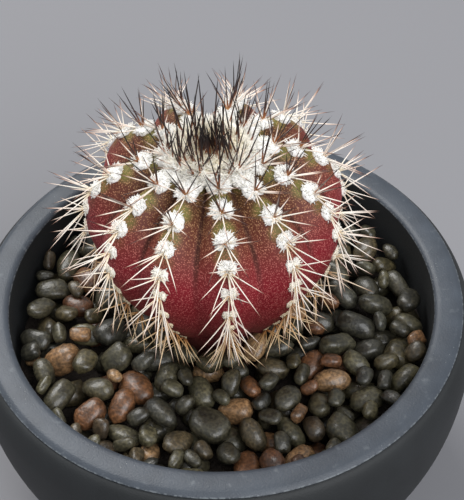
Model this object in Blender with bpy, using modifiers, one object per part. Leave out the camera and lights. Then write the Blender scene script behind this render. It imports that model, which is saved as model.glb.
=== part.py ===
"""A round, ribbed cactus in a bowl-shaped stoneware pot, dressed with river pebbles.

Run it with: blender --background --python part.py, or from Blender's text editor.
The pieces are the pot, the potting soil, the pebble dressing, the plant's body, its woolly crown with
the young spines, and one spine cluster for each areole on the eleven ribs.
The frame: metres, +Z up, the origin at the centre of the pot's flat base.
"""

import math
import random

import bmesh
import bpy
from mathutils import Euler, Matrix, Vector

MM = 0.001
GAP = 0.3 * MM

# Pot: a round-bellied bowl with a thick flat lip, a rounded shoulder under it and a drain hole.
POT_RADIUS = 65 * MM
POT_HEIGHT = 66 * MM
RIM_RADIUS = 61.7 * MM
INNER_RADIUS = 54.4 * MM
LIP_BEVEL = 0.8 * MM
LIP_INNER_DROP = 1.6 * MM
SHOULDER_Z = 55.4 * MM
OUTER_DEPTH = 63.7 * MM
OUTER_POWER = 2.23
BOWL_CENTRE_Z = 50.5 * MM
INNER_DEPTH = 55 * MM
FLOOR_THICKNESS = 6 * MM
FOOT_CHAMFER = 1.2 * MM
DRAIN_RADIUS = 6 * MM
POT_STEPS = 48

# Fill: soil up to the dressing, then a layer of pebbles that ends below the rim.
SOIL_TOP = 46 * MM
DRESSING_FLOOR = SOIL_TOP + GAP
DRESSING_SLAB_TOP = 54 * MM
PEBBLE_HALF_SIZES = (5.6 * MM, 4.1 * MM, 3.0 * MM)
PEBBLE_RING_SPACING = 8.4 * MM
PEBBLE_PITCH = 10.5 * MM
PEBBLE_Z = 54.8 * MM
PEBBLE_SEED = 11

# Plant: where its axis and its widest level stand, and its shape around them.
PLANT_X = -0.9 * MM
PLANT_Y = 4.0 * MM
PLANT_Z = POT_HEIGHT + 25.2 * MM
BODY_RADIUS = 30.9 * MM
CROWN_RISE = 20.1 * MM
CROWN_DIP = 2.6 * MM
CROWN_DIP_RADIUS = 12 * MM
BELLY_DROP = 31 * MM
NECK_TOP_RADIUS = 14.5 * MM
NECK_END_RADIUS = 12 * MM
NECK_END_DROP = 50 * MM
NECK_POINT = 1 * MM
NECK_ROOM = 1.2 * MM
RIB_AZIMUTHS = (-84, -54, -23, 8, 43, 76, 111, 147, 186, 218, 246)
RING_STEPS_ABOVE = 9
RING_STEPS_BELOW = 8
STEPS_PER_RIB = 6

# Areoles: five rows of spine clusters down each rib, staggered from rib to rib.
ROW_LATITUDES = (60, 44, 28, 12.5, -2)
RIB_STAGGER = (-4, 2, -3, -6, 2, -5, -5, -5, 1, 3, 5)
ROW_SPREAD = (24, 31, 37, 41, 41)
ROW_SPINE_LENGTHS = (11 * MM, 11 * MM, 12 * MM, 12 * MM, 11.5 * MM)
PAD_RADIUS = 2.1 * MM
PAD_HEIGHT = 1.3 * MM
PAD_LIFT = 0.45 * MM
SPINE_RADIUS = 0.42 * MM
RING_SPINES = 5
RING_RADIUS = 1.15 * MM

# Crown: a cushion of wool with a tuft of young dark spines.
WOOL_RADIUS = 12.2 * MM
WOOL_HEIGHT = 3.2 * MM
TUFT_RINGS = ((1, 0, 2), (5, 3.2 * MM, 9), (8, 6.6 * MM, 17))
TUFT_SPINE_LENGTH = 14 * MM
TUFT_SPINE_RADIUS = 0.5 * MM


def clear_scene():
    """Removes whatever the startup file holds."""
    for obj in list(bpy.data.objects):
        bpy.data.objects.remove(obj, do_unlink=True)


def new_collection(name):
    """A collection linked to the scene."""
    collection = bpy.data.collections.new(name)
    bpy.context.scene.collection.children.link(collection)
    return collection


def new_material(name, colour, roughness):
    """A plain Principled material for one kind of piece."""
    material = bpy.data.materials.new(name)
    material.use_nodes = True
    shader = material.node_tree.nodes["Principled BSDF"]
    shader.inputs["Base Color"].default_value = (*colour, 1)
    shader.inputs["Roughness"].default_value = roughness
    shader.inputs["Metallic"].default_value = 0
    material.diffuse_color = (*colour, 1)
    return material


def add_object(name, mesh, collection, material):
    """An object for this mesh, with one material."""
    obj = bpy.data.objects.new(name, mesh)
    collection.objects.link(obj)
    if not mesh.materials:
        mesh.materials.append(material)
    return obj


def mesh_from(bm, name):
    """Turns a bmesh into a mesh and frees it."""
    mesh = bpy.data.meshes.new(name)
    bm.to_mesh(mesh)
    bm.free()
    return mesh


def shade_round(mesh, degrees=40):
    """Smooth shading that keeps edges sharper than this angle."""
    mesh.shade_smooth()
    mesh.set_sharp_from_angle(angle=math.radians(degrees))


def turned(name, profile, closed, collection, material):
    """A solid turned about Z from (radius, height) points that run down its outer side."""
    mesh = bpy.data.meshes.new(name)
    points = [(radius, 0, height) for radius, height in profile]
    edges = [(i, i + 1) for i in range(len(points) - 1)]
    if closed:
        edges.append((len(points) - 1, 0))
    mesh.from_pydata(points, edges, [])
    obj = add_object(name, mesh, collection, material)
    screw = obj.modifiers.new("Turn", "SCREW")
    screw.axis = "Z"
    screw.steps = POT_STEPS
    screw.render_steps = POT_STEPS
    screw.use_merge_vertices = True
    screw.merge_threshold = 0.00001
    screw.use_smooth_shade = True
    return obj


def evaluated_mesh(obj, name):
    """The object's mesh as its modifiers leave it."""
    graph = bpy.context.evaluated_depsgraph_get()
    graph.update()
    mesh = bpy.data.meshes.new_from_object(obj.evaluated_get(graph))
    mesh.name = name
    return mesh


def combine(obj, operation, other):
    """Adds a Boolean of this kind with another object."""
    boolean = obj.modifiers.new(operation.title(), "BOOLEAN")
    boolean.operation = operation
    boolean.solver = "EXACT"
    boolean.object = other
    return boolean


def hide_helper(obj):
    """Marks a cutter or a guide, which isn't part of the object."""
    obj.hide_render = True
    obj.display_type = "WIRE"


def arc(centre, radii, start, end, steps):
    """Points on an ellipse's arc, from one angle to another in degrees."""
    points = []
    for i in range(steps + 1):
        angle = math.radians(start + (end - start) * i / steps)
        across = centre[0] + radii[0] * math.cos(angle)
        up = centre[1] + radii[1] * math.sin(angle)
        points.append((across, up))
    return points


def outer_radius(z):
    """The wall's outside at a height: a rounded shoulder, widest at SHOULDER_Z, over a tapering bowl."""
    if z >= SHOULDER_Z:
        share = (z - SHOULDER_Z) / (POT_HEIGHT - SHOULDER_Z)
        return RIM_RADIUS + (POT_RADIUS - RIM_RADIUS) * math.sqrt(1 - share * share)
    share = (SHOULDER_Z - z) / OUTER_DEPTH
    return POT_RADIUS * (1 - share**OUTER_POWER) ** (1 / OUTER_POWER)


def inner_radius(z):
    """The wall's inside at a height: upright above BOWL_CENTRE_Z, an ellipse below it."""
    if z >= BOWL_CENTRE_Z:
        return INNER_RADIUS
    share = (BOWL_CENTRE_Z - max(z, FLOOR_THICKNESS)) / INNER_DEPTH
    return INNER_RADIUS * math.sqrt(1 - share * share)


def heights(high, low, steps):
    """Evenly spaced heights from high to low, both included."""
    return [high + (low - high) * i / steps for i in range(steps + 1)]


def pot_profile():
    """The pot's closed section, from its lip down the outside and back up the inside."""
    lip_outer = [(RIM_RADIUS - LIP_BEVEL, POT_HEIGHT), (RIM_RADIUS, POT_HEIGHT - LIP_BEVEL / 2)]
    shoulder_top = POT_HEIGHT - 2 * LIP_BEVEL
    outside = [(outer_radius(z), z) for z in heights(shoulder_top, SHOULDER_Z, 4)]
    outside += [(outer_radius(z), z) for z in heights(SHOULDER_Z, FOOT_CHAMFER, 10)[1:]]
    foot = [(outer_radius(0) - FOOT_CHAMFER, 0)]
    hole = [(DRAIN_RADIUS, 0), (DRAIN_RADIUS, FLOOR_THICKNESS)]
    inside = [(inner_radius(z), z) for z in heights(FLOOR_THICKNESS, BOWL_CENTRE_Z, 6)]
    lip_inner = arc(
        (INNER_RADIUS + 2.4 * MM, POT_HEIGHT - LIP_INNER_DROP),
        (2.4 * MM, LIP_INNER_DROP),
        180,
        90,
        3,
    )
    return lip_outer + outside + foot + hole + inside + lip_inner


def make_pot(collection):
    """The bowl, turned in one piece with its drain hole."""
    material = new_material("pot_stoneware", (0.045, 0.048, 0.052), 0.5)
    return turned("pot", pot_profile(), True, collection, material)


def fill_profile(top, bottom, steps):
    """The section of a layer that fills the bowl between two heights, a gap off its wall."""
    side = [(inner_radius(z) - GAP, z) for z in heights(top, bottom, steps)]
    return [(0, top), *side, (0, bottom)]


def make_neck_cutter(collection, material):
    """The room that the plant's neck takes in the soil and the dressing."""
    bottom = PLANT_Z - NECK_END_DROP - NECK_POINT - 2 * GAP
    top = PLANT_Z - BELLY_DROP + 6 * MM
    bm = bmesh.new()
    bmesh.ops.create_cone(
        bm,
        cap_ends=True,
        segments=40,
        radius1=NECK_END_RADIUS + NECK_ROOM,
        radius2=NECK_TOP_RADIUS + 3 * NECK_ROOM,
        depth=top - bottom,
        matrix=Matrix.Translation((PLANT_X, PLANT_Y, (top + bottom) / 2)),
    )
    cutter = add_object("neck_cutter", mesh_from(bm, "neck_cutter"), collection, material)
    hide_helper(cutter)
    return cutter


def make_soil(collection, cutters):
    """The potting soil, with the plant's neck set into its top."""
    material = new_material("potting_soil", (0.055, 0.036, 0.024), 0.95)
    profile = fill_profile(SOIL_TOP, FLOOR_THICKNESS + GAP, 6)
    soil = turned("soil", profile, False, collection, material)
    combine(soil, "DIFFERENCE", cutters["neck"])
    return soil


def pebble_places():
    """Places of the dressing's top pebbles: rings round the pot, clear of the plant's neck."""
    places = []
    radius = INNER_RADIUS - PEBBLE_HALF_SIZES[0] - 2 * GAP
    while radius > PEBBLE_HALF_SIZES[0]:
        count = round(2 * math.pi * radius / PEBBLE_PITCH)
        for i in range(count):
            angle = 2 * math.pi * (i + 0.5 * (len(places) % 2)) / count
            place = Vector((radius * math.cos(angle), radius * math.sin(angle), PEBBLE_Z))
            neck = Vector((PLANT_X, PLANT_Y, PEBBLE_Z))
            if (place - neck).length > NECK_TOP_RADIUS + PEBBLE_HALF_SIZES[0]:
                places.append(place)
        radius -= PEBBLE_RING_SPACING
    return places


def make_pebble_dressing(collection, cutters):
    """The pebble layer as one solid: a slab with the top pebbles standing half out of it."""
    material = new_material("river_pebbles", (0.06, 0.062, 0.052), 0.4)
    profile = fill_profile(DRESSING_SLAB_TOP, DRESSING_FLOOR, 1)
    slab = turned("pebble_dressing", profile, False, collection, material)
    dice = random.Random(PEBBLE_SEED)
    for number, place in enumerate(pebble_places()):
        bm = bmesh.new()
        bmesh.ops.create_icosphere(bm, subdivisions=1, radius=1)
        size = [half * dice.uniform(0.82, 1.0) for half in PEBBLE_HALF_SIZES]
        turn = Euler((dice.uniform(-0.3, 0.3), dice.uniform(-0.3, 0.3), dice.uniform(0, math.pi)))
        bm.transform(Matrix.LocRotScale(place, turn, size))
        name = f"top_pebble_{number:02d}"
        pebble = add_object(name, mesh_from(bm, name), cutters["collection"], material)
        hide_helper(pebble)
        combine(slab, "UNION", pebble)
    combine(slab, "DIFFERENCE", cutters["neck"])
    return slab


def crest_above(latitude):
    """The rib crest's (radius, height) over the widest level, for a latitude of 0 to 90 degrees."""
    angle = math.radians(latitude)
    radius = BODY_RADIUS * max(math.cos(angle), 0) ** 0.83
    share = min(max(1 - radius / CROWN_DIP_RADIUS, 0), 1)
    dip = CROWN_DIP * share * share * (3 - 2 * share)
    return radius, CROWN_RISE * math.sin(angle) ** 0.81 - dip


def crest_below(drop):
    """The rib crest's radius at a drop below the widest level: a belly that runs into the neck."""
    if drop < BELLY_DROP:
        share = (1 - (drop / BELLY_DROP) ** 1.6) ** 0.9
        return NECK_TOP_RADIUS + (BODY_RADIUS - NECK_TOP_RADIUS) * share
    share = (drop - BELLY_DROP) / (NECK_END_DROP - BELLY_DROP)
    return NECK_TOP_RADIUS + (NECK_END_RADIUS - NECK_TOP_RADIUS) * share


def crest_point(latitude):
    """The rib crest's (radius, height) from the widest level, for any latitude of an areole."""
    if latitude >= 0:
        return crest_above(latitude)
    drop = BELLY_DROP * math.sin(math.radians(-latitude))
    return crest_below(drop), -drop


def crest_normal(latitude):
    """The outward direction across the crest, as (radial, up)."""
    low = crest_point(latitude - 1)
    high = crest_point(latitude + 1)
    normal = Vector((high[1] - low[1], low[0] - high[0]))
    return normal.normalized()


def crest_rings():
    """(radius, height, furrow depth) of every ring of the body, from the crown to the neck's end."""
    rings = []
    for i in range(1, RING_STEPS_ABOVE + 1):
        latitude = 90 * (1 - i / RING_STEPS_ABOVE)
        radius, height = crest_above(latitude)
        depth = 2.5 * MM + 3.4 * MM * math.sin(math.radians(1.6 * latitude))
        rings.append((radius, height, min(depth, 0.34 * radius)))
    for i in range(1, RING_STEPS_BELOW + 1):
        drop = NECK_END_DROP * (i / RING_STEPS_BELOW) ** 0.85
        depth = 2.5 * MM * max(1 - drop / (0.85 * BELLY_DROP), 0) ** 1.2
        rings.append((crest_below(drop), -drop, depth))
    return rings


def rib_azimuth(position):
    """The azimuth in radians at a position counted in ribs, so 2.5 is midway between ribs 2 and 3."""
    count = len(RIB_AZIMUTHS)
    rib = int(math.floor(position)) % count
    share = position - math.floor(position)
    start = RIB_AZIMUTHS[rib]
    end = RIB_AZIMUTHS[(rib + 1) % count] + (360 if rib + 1 == count else 0)
    return math.radians(start + (end - start) * share)


def make_body(collection):
    """The plant's body: a sphere's grid drawn out to the ribs, the dipped crown and the neck."""
    material = new_material("cactus_skin", (0.26, 0.045, 0.045), 0.55)
    rings = crest_rings()
    ribs = len(RIB_AZIMUTHS)
    around = ribs * STEPS_PER_RIB
    levels = len(rings) + 1
    bm = bmesh.new()
    bmesh.ops.create_uvsphere(bm, u_segments=around, v_segments=levels, radius=1)
    for vert in bm.verts:
        level = round((0.5 - math.asin(max(-1, min(1, vert.co.z))) / math.pi) * levels)
        if level == 0:
            vert.co = (0, 0, crest_above(90)[1])
        elif level == levels:
            vert.co = (0, 0, rings[-1][1] - NECK_POINT)
        else:
            radius, height, depth = rings[level - 1]
            step = round(math.atan2(vert.co.y, vert.co.x) / (2 * math.pi) * around) % around
            position = step / STEPS_PER_RIB
            off_crest = 2 * abs(position - round(position))
            radius -= depth * off_crest**1.7
            angle = rib_azimuth(position)
            vert.co = (radius * math.cos(angle), radius * math.sin(angle), height)
    bm.transform(Matrix.Translation((PLANT_X, PLANT_Y, PLANT_Z)))
    bmesh.ops.recalc_face_normals(bm, faces=bm.faces)
    mesh = mesh_from(bm, "cactus_body")
    shade_round(mesh, 80)
    return add_object("cactus_body", mesh, collection, material)


def spine_mesh(base, direction, length, radius):
    """One tapered spine as a three-sided cone from its base point."""
    bm = bmesh.new()
    turn = direction.to_track_quat("Z", "Y").to_matrix().to_4x4()
    place = Matrix.Translation(base + direction * length / 2)
    bmesh.ops.create_cone(
        bm,
        cap_ends=True,
        segments=3,
        radius1=radius,
        radius2=0,
        depth=length,
        matrix=place @ turn,
    )
    return mesh_from(bm, "spine")


def dome_mesh(radius, height, around, levels):
    """A cushion of wool: the upper half of a flattened sphere with a flat underside."""
    bm = bmesh.new()
    bmesh.ops.create_uvsphere(bm, u_segments=around, v_segments=2 * levels, radius=1)
    cut = bmesh.ops.bisect_plane(
        bm,
        geom=[*bm.verts, *bm.edges, *bm.faces],
        plane_co=(0, 0, 0),
        plane_no=(0, 0, -1),
        clear_outer=True,
    )
    rim = [item for item in cut["geom_cut"] if isinstance(item, bmesh.types.BMEdge)]
    bmesh.ops.contextual_create(bm, geom=rim)
    bm.transform(Matrix.Diagonal((radius, radius, height, 1)))
    bmesh.ops.recalc_face_normals(bm, faces=bm.faces)
    return mesh_from(bm, "dome")


def grown_together(name, cushion, spines, helpers, material):
    """One mesh of a wool cushion and the spines that grow out of it, joined a thousand times larger."""
    enlarge = Matrix.Scale(1 / MM, 4)
    cushion.transform(enlarge)
    core = add_object(name + "_core", cushion, helpers, material)
    hide_helper(core)
    for number, spine in enumerate(spines):
        spine.transform(enlarge)
        helper = add_object(f"{name}_spine_{number:02d}", spine, helpers, material)
        hide_helper(helper)
        combine(core, "UNION", helper)
    mesh = evaluated_mesh(core, name)
    mesh.materials.clear()
    mesh.transform(enlarge.inverted())
    return mesh


def lean(polar, around):
    """A unit direction leaning off +Z by one angle, towards another, in degrees."""
    tilt = math.radians(polar)
    turn = math.radians(around)
    across = math.sin(tilt)
    return Vector((across * math.cos(turn), across * math.sin(turn), math.cos(tilt)))


def areole_mesh(row, helpers, material):
    """The spine cluster of one row: a wool pad, a ring of spines and one in the middle."""
    root = Vector((0, 0, 0.35 * PAD_HEIGHT))
    length = ROW_SPINE_LENGTHS[row]
    spines = [spine_mesh(root, lean(4, 90), 1.08 * length, SPINE_RADIUS)]
    for number in range(RING_SPINES):
        turn = 90 + 360 * number / RING_SPINES
        towards = lean(ROW_SPREAD[row], turn)
        foot = root + lean(90, turn) * RING_RADIUS
        spines.append(spine_mesh(foot, towards, length, SPINE_RADIUS))
    cushion = dome_mesh(PAD_RADIUS, PAD_HEIGHT, 9, 2)
    return grown_together(f"areole_row_{row + 1}", cushion, spines, helpers, material)


def areole_place(rib, latitude):
    """The placement of an areole: +Z out of the rib's crest, +Y up the rib."""
    radius, height = crest_point(latitude)
    normal = crest_normal(latitude)
    azimuth = math.radians(RIB_AZIMUTHS[rib])
    radial = Vector((math.cos(azimuth), math.sin(azimuth), 0))
    outward = radial * normal.x + Vector((0, 0, normal.y))
    sideways = Vector((-radial.y, radial.x, 0))
    upward = outward.cross(sideways)
    centre = Vector((PLANT_X, PLANT_Y, PLANT_Z + height)) + radial * radius + outward * PAD_LIFT
    axes = Matrix((sideways, upward, outward)).transposed().to_4x4()
    return Matrix.Translation(centre) @ axes


def make_areoles(collection, helpers):
    """Five rows of spine clusters down each of the ribs."""
    material = new_material("areole_spines", (0.82, 0.74, 0.62), 0.5)
    made = []
    for row, latitude in enumerate(ROW_LATITUDES):
        mesh = areole_mesh(row, helpers, material)
        for rib in range(len(RIB_AZIMUTHS)):
            name = f"areole_rib{rib + 1:02d}_row{row + 1}"
            obj = add_object(name, mesh, collection, material)
            obj.matrix_world = areole_place(rib, latitude + RIB_STAGGER[rib])
            made.append(obj)
    return made


def make_crown(collection, helpers):
    """The crown's wool cushion with the young spines that stand in it."""
    material = new_material("crown_wool", (0.88, 0.84, 0.74), 0.9)
    spines = []
    for count, radius, polar in TUFT_RINGS:
        for number in range(count):
            turn = 360 * (number + 0.5 * (count % 2)) / count
            root = lean(90, turn) * radius + Vector((0, 0, 0.2 * WOOL_HEIGHT))
            towards = lean(polar, turn)
            spines.append(spine_mesh(root, towards, TUFT_SPINE_LENGTH, TUFT_SPINE_RADIUS))
    cushion = dome_mesh(WOOL_RADIUS, WOOL_HEIGHT, 24, 3)
    mesh = grown_together("crown_tuft", cushion, spines, helpers, material)
    crown = add_object("crown_tuft", mesh, collection, material)
    crown.location = (PLANT_X, PLANT_Y, PLANT_Z + CROWN_RISE - GAP)
    return crown


def main():
    clear_scene()
    pieces = new_collection("potted_round_cactus")
    helpers = new_collection("cutters_and_guides")
    guide_material = new_material("guide", (0.5, 0.5, 0.5), 0.5)
    cutters = {
        "collection": helpers,
        "neck": make_neck_cutter(helpers, guide_material),
    }
    make_pot(pieces)
    make_soil(pieces, cutters)
    make_pebble_dressing(pieces, cutters)
    make_body(pieces)
    make_crown(pieces, helpers)
    make_areoles(pieces, helpers)


main()
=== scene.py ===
# %% [markdown]
# # A round cactus in a stoneware bowl
# A small ribbed cactus grows in a matt black bowl that is dressed with river pebbles. The sizes come from
# a fixed frame, a plain model of the same pot and plant at real size. This lesson adds the looks: the
# bowl's crisp flat lip, hundreds of loose pebbles, the speckled skin, the wool and every single spine.

import math
import random

import bmesh
import bpy
import numpy as np
from mathutils import Matrix, Vector, noise


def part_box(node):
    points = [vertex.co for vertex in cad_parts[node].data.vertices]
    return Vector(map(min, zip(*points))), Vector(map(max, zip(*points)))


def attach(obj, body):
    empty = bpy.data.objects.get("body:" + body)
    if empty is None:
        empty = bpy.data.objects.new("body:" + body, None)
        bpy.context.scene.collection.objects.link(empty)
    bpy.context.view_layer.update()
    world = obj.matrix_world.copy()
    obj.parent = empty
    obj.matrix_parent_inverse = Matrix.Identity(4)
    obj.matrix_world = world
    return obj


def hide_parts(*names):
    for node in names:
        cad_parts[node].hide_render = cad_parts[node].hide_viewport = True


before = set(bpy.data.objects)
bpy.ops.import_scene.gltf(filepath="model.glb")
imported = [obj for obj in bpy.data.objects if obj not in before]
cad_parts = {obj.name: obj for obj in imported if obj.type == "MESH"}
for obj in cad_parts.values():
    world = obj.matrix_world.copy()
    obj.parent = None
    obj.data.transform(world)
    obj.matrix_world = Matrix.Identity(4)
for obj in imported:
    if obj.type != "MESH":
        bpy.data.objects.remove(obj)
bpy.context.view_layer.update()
MM = 0.001
print("nodes in the frame:", len(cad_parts))

# %% [markdown]
# ## Measures
# Everything is placed from the frame's own boxes, so nothing has to be fitted afterwards. The crown's box
# is round about the plant's axis, which makes it the best place to read that axis from.

# %% Read the measures
pot_low, pot_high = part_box("pot")
bowl_radius = (pot_high.x - pot_low.x) / 2
rim_z = pot_high.z
soil_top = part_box("soil")[1].z
dressing_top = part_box("pebble_dressing")[1].z
crown_low, crown_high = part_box("crown_tuft")
plant_x = (crown_low.x + crown_high.x) / 2
plant_y = (crown_low.y + crown_high.y) / 2
CROWN_RISE = 20.1 * MM
widest_z = crown_low.z - CROWN_RISE
print("bowl radius", round(bowl_radius, 4), "rim", round(rim_z, 4))
print("plant axis", round(plant_x, 4), round(plant_y, 4))

# %% [markdown]
# ## Camera
# The view looks down at the plant at about 46 degrees, through a longish lens that keeps the near and the
# far side of the rim in scale. Distances are counted in bowl radii, so any size is framed the same.

# %% Set the camera
CAMERA_TILT = math.radians(46.3)
CAMERA_DISTANCE = 4.942 * bowl_radius
CAMERA_ROLL = math.radians(-1.28)
LENS_LENGTH = 93.6
SENSOR_WIDTH = 36
# where the camera aims, in bowl radii: aside, back and over the rim
AIM_ASIDE = 0.0459
AIM_BACK = -0.0149
AIM_OVER_RIM = 0.2497
camera_aim = Vector((AIM_ASIDE * bowl_radius, AIM_BACK * bowl_radius, rim_z + AIM_OVER_RIM * bowl_radius))
camera_back = Vector((0, -math.cos(CAMERA_TILT), math.sin(CAMERA_TILT)))
camera_data = bpy.data.cameras.new("camera")
camera_data.sensor_width = SENSOR_WIDTH
camera_data.lens = LENS_LENGTH
camera_data.clip_start = 0.01
camera = bpy.data.objects.new("camera", camera_data)
bpy.context.scene.collection.objects.link(camera)
look = (-camera_back).to_track_quat("-Z", "Y").to_matrix()
camera.matrix_world = Matrix.Translation(camera_aim + camera_back * CAMERA_DISTANCE) @ (
    look @ Matrix.Rotation(CAMERA_ROLL, 3, "Z")
).to_4x4()
bpy.context.scene.camera = camera
print("camera at", [round(c, 4) for c in camera.matrix_world.translation])

# %% [markdown]
# ## Light
# Soft daylight comes from above and behind the left shoulder of the pot. A wide lamp gives soft shadows, so
# one hangs there, a weaker one fills the front, and a pale even sky lifts the rest.

# %% Hang the lamps
LAMP_AIM = Vector((0, 0, 0.08))


def hang_lamp(name, place, size, watts, colour):
    """A square soft lamp that shines from a place at the plant."""
    data = bpy.data.lights.new(name, "AREA")
    data.shape = "SQUARE"
    data.size = size
    data.energy = watts
    data.color = colour
    lamp = bpy.data.objects.new(name, data)
    bpy.context.scene.collection.objects.link(lamp)
    turn = (LAMP_AIM - Vector(place)).to_track_quat("-Z", "Y").to_matrix().to_4x4()
    lamp.matrix_world = Matrix.Translation(place) @ turn


hang_lamp("window", place=(-0.38, 0.55, 0.98), size=0.7, watts=12, colour=(1.0, 0.99, 0.97))
hang_lamp("front_fill", place=(0.45, -0.65, 0.8), size=0.8, watts=10, colour=(0.97, 0.98, 1.0))
world = bpy.data.worlds.new("studio")
world.use_nodes = True
sky = world.node_tree.nodes["Background"]
sky.inputs["Color"].default_value = (0.93, 0.96, 1.0, 1)
sky.inputs["Strength"].default_value = 0.42
bpy.context.scene.world = world
bpy.context.scene.view_settings.view_transform = "Standard"
print("lamps:", len(bpy.data.lights))

# %% [markdown]
# ## Shader maths
# A material is easier to read as arithmetic than as a web of nodes. The class below wraps one output, and
# adding or multiplying two of them adds the node that does it: plain values go through Math, vectors through
# Vector Math, and colours through Mix, because a Math node would turn a colour grey.


# %% Wrap an output
class Wire:
    """One output in a material. Arithmetic on it adds the nodes that work it out."""

    def __init__(self, paint, socket):
        self.paint = paint
        self.socket = socket

    def combine(self, operation, first, second):
        kinds = {w.socket.type for w in (first, second) if isinstance(w, Wire)}
        if "RGBA" in kinds:
            settings = {"data_type": "RGBA", "blend_type": operation}
            return self.paint.node("ShaderNodeMix", settings, {0: 1.0, 6: first, 7: second}, 2)
        kind = "ShaderNodeVectorMath" if "VECTOR" in kinds else "ShaderNodeMath"
        return self.paint.node(kind, {"operation": operation}, {0: first, 1: second})

    def __add__(self, other):
        return self.combine("ADD", self, other)

    def __radd__(self, other):
        return self.combine("ADD", other, self)

    def __sub__(self, other):
        return self.combine("SUBTRACT", self, other)

    def __rsub__(self, other):
        return self.combine("SUBTRACT", other, self)

    def __mul__(self, other):
        return self.combine("MULTIPLY", self, other)

    def __rmul__(self, other):
        return self.combine("MULTIPLY", other, self)


print("arithmetic on outputs ready")

# %% [markdown]
# A paint is a material with the few nodes that this plant needs, each behind a short name: grain is noise,
# cells are the dots of a Voronoi pattern, ease is a smooth step and ramp a row of colours. What is the same
# all over a surface is set on the shader itself.


# %% Mix up a paint
def tint(red, green, blue):
    """A colour on the usual 0 to 255 scale as the linear values that a shader takes."""
    parts = [c / 255 for c in (red, green, blue)]
    return (*[c / 12.92 if c <= 0.04045 else ((c + 0.055) / 1.055) ** 2.4 for c in parts], 1.0)


class Paint:
    """A material being made. One method adds any node: its type, its settings, then its inputs."""

    def __init__(self, name, **constants):
        self.material = bpy.data.materials.new(name)
        self.material.use_nodes = True
        self.tree = self.material.node_tree
        self.shader = self.tree.nodes["Principled BSDF"]
        for key, value in constants.items():
            self.shader.inputs[key.replace("_", " ")].default_value = value

    def node(self, kind, settings=None, inputs=None, output=0):
        made = self.tree.nodes.new(kind)
        for key, value in (settings or {}).items():
            if key == "stops":
                self.set_stops(made.color_ramp, value)
            else:
                setattr(made, key, value)
        for key, value in (inputs or {}).items():
            self.feed(made.inputs[key], value)
        return Wire(self, made.outputs[output])

    def set_stops(self, ramp, stops):
        while len(ramp.elements) < len(stops):
            ramp.elements.new(0.5)
        for element, (place, colour) in zip(ramp.elements, stops):
            element.position = place
            element.color = colour

    def feed(self, socket, value):
        if isinstance(value, Wire):
            self.tree.links.new(value.socket, socket)
        else:
            socket.default_value = value

    def place(self):
        return self.node("ShaderNodeTexCoord", output="Object")

    def attribute(self, name):
        return self.node("ShaderNodeAttribute", {"attribute_name": name}, output="Fac")

    def split(self, vector, axis):
        return self.node("ShaderNodeSeparateXYZ", inputs={0: vector}, output=axis)

    def grain(self, scale, detail):
        inputs = {"Vector": self.place(), "Scale": scale, "Detail": detail}
        return self.node("ShaderNodeTexNoise", inputs=inputs)

    def cells(self, scale):
        inputs = {"Vector": self.place(), "Scale": scale}
        return self.node("ShaderNodeTexVoronoi", inputs=inputs, output="Distance")

    def ease(self, value, start, end):
        """0 before start, 1 after end and smooth between them."""
        inputs = {0: value, 1: start, 2: end}
        return self.node("ShaderNodeMapRange", {"interpolation_type": "SMOOTHSTEP"}, inputs)

    def ramp(self, value, *stops):
        return self.node("ShaderNodeValToRGB", {"stops": stops}, {0: value})

    def blend(self, under, over, share):
        return self.node("ShaderNodeMix", {"data_type": "RGBA"}, {0: share, 6: under, 7: over}, 2)

    def bump(self, height, depth):
        inputs = {"Height": height, "Distance": depth, "Strength": 1.0}
        self.feed(self.shader.inputs["Normal"], self.node("ShaderNodeBump", inputs=inputs))

    def colour(self, wire):
        self.feed(self.shader.inputs["Base Color"], wire)

    def roughness(self, wire):
        self.feed(self.shader.inputs["Roughness"], wire)


print("paints ready")

# %% [markdown]
# Every finished piece goes the same way: its bmesh becomes a mesh at the origin, gets its paint, and is tied
# to the frame, and the frame's plain solids that it replaces are hidden.


# %% Keep a finished piece
def finish_piece(bm, name, paint, replaced, smooth_angle=None):
    """Makes the object of a bmesh, paints it, and lets it ride on the frame."""
    mesh = bpy.data.meshes.new(name)
    bm.to_mesh(mesh)
    bm.free()
    mesh.shade_smooth()
    if smooth_angle:
        mesh.set_sharp_from_angle(angle=math.radians(smooth_angle))
    mesh.materials.append(paint.material)
    piece = bpy.data.objects.new(name, mesh)
    bpy.context.scene.collection.objects.link(piece)
    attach(piece, "root")
    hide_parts(*replaced)
    print(name, len(mesh.polygons), "faces")


print("ready to keep pieces")


# %% [markdown]
# ## Floor
# The pot stands on a plain pale floor. It is staging and isn't part of the object.

# %% Lay the floor
FLOOR_HALF_WIDTH = 3
floor_paint = Paint("floor_paint", Roughness=0.9)
floor_paint.shader.inputs["Base Color"].default_value = tint(131, 131, 135)
floor_sheet = bmesh.new()
bmesh.ops.create_grid(floor_sheet, x_segments=1, y_segments=1, size=FLOOR_HALF_WIDTH)
floor_mesh = bpy.data.meshes.new("floor")
floor_sheet.to_mesh(floor_mesh)
floor_sheet.free()
floor_mesh.materials.append(floor_paint.material)
floor = bpy.data.objects.new("floor", floor_mesh)
bpy.context.scene.collection.objects.link(floor)
print("floor laid")

# %% [markdown]
# ## Bowl
# The bowl is cast stoneware: a round-bellied wall, a shoulder that turns in under the rim, and a thick flat
# lip with a small bevel and a crisp outer edge. It is turned here by spinning its section about the axis.
# The section is a closed line of arcs and curves, down the outside and back up the inside.

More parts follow.
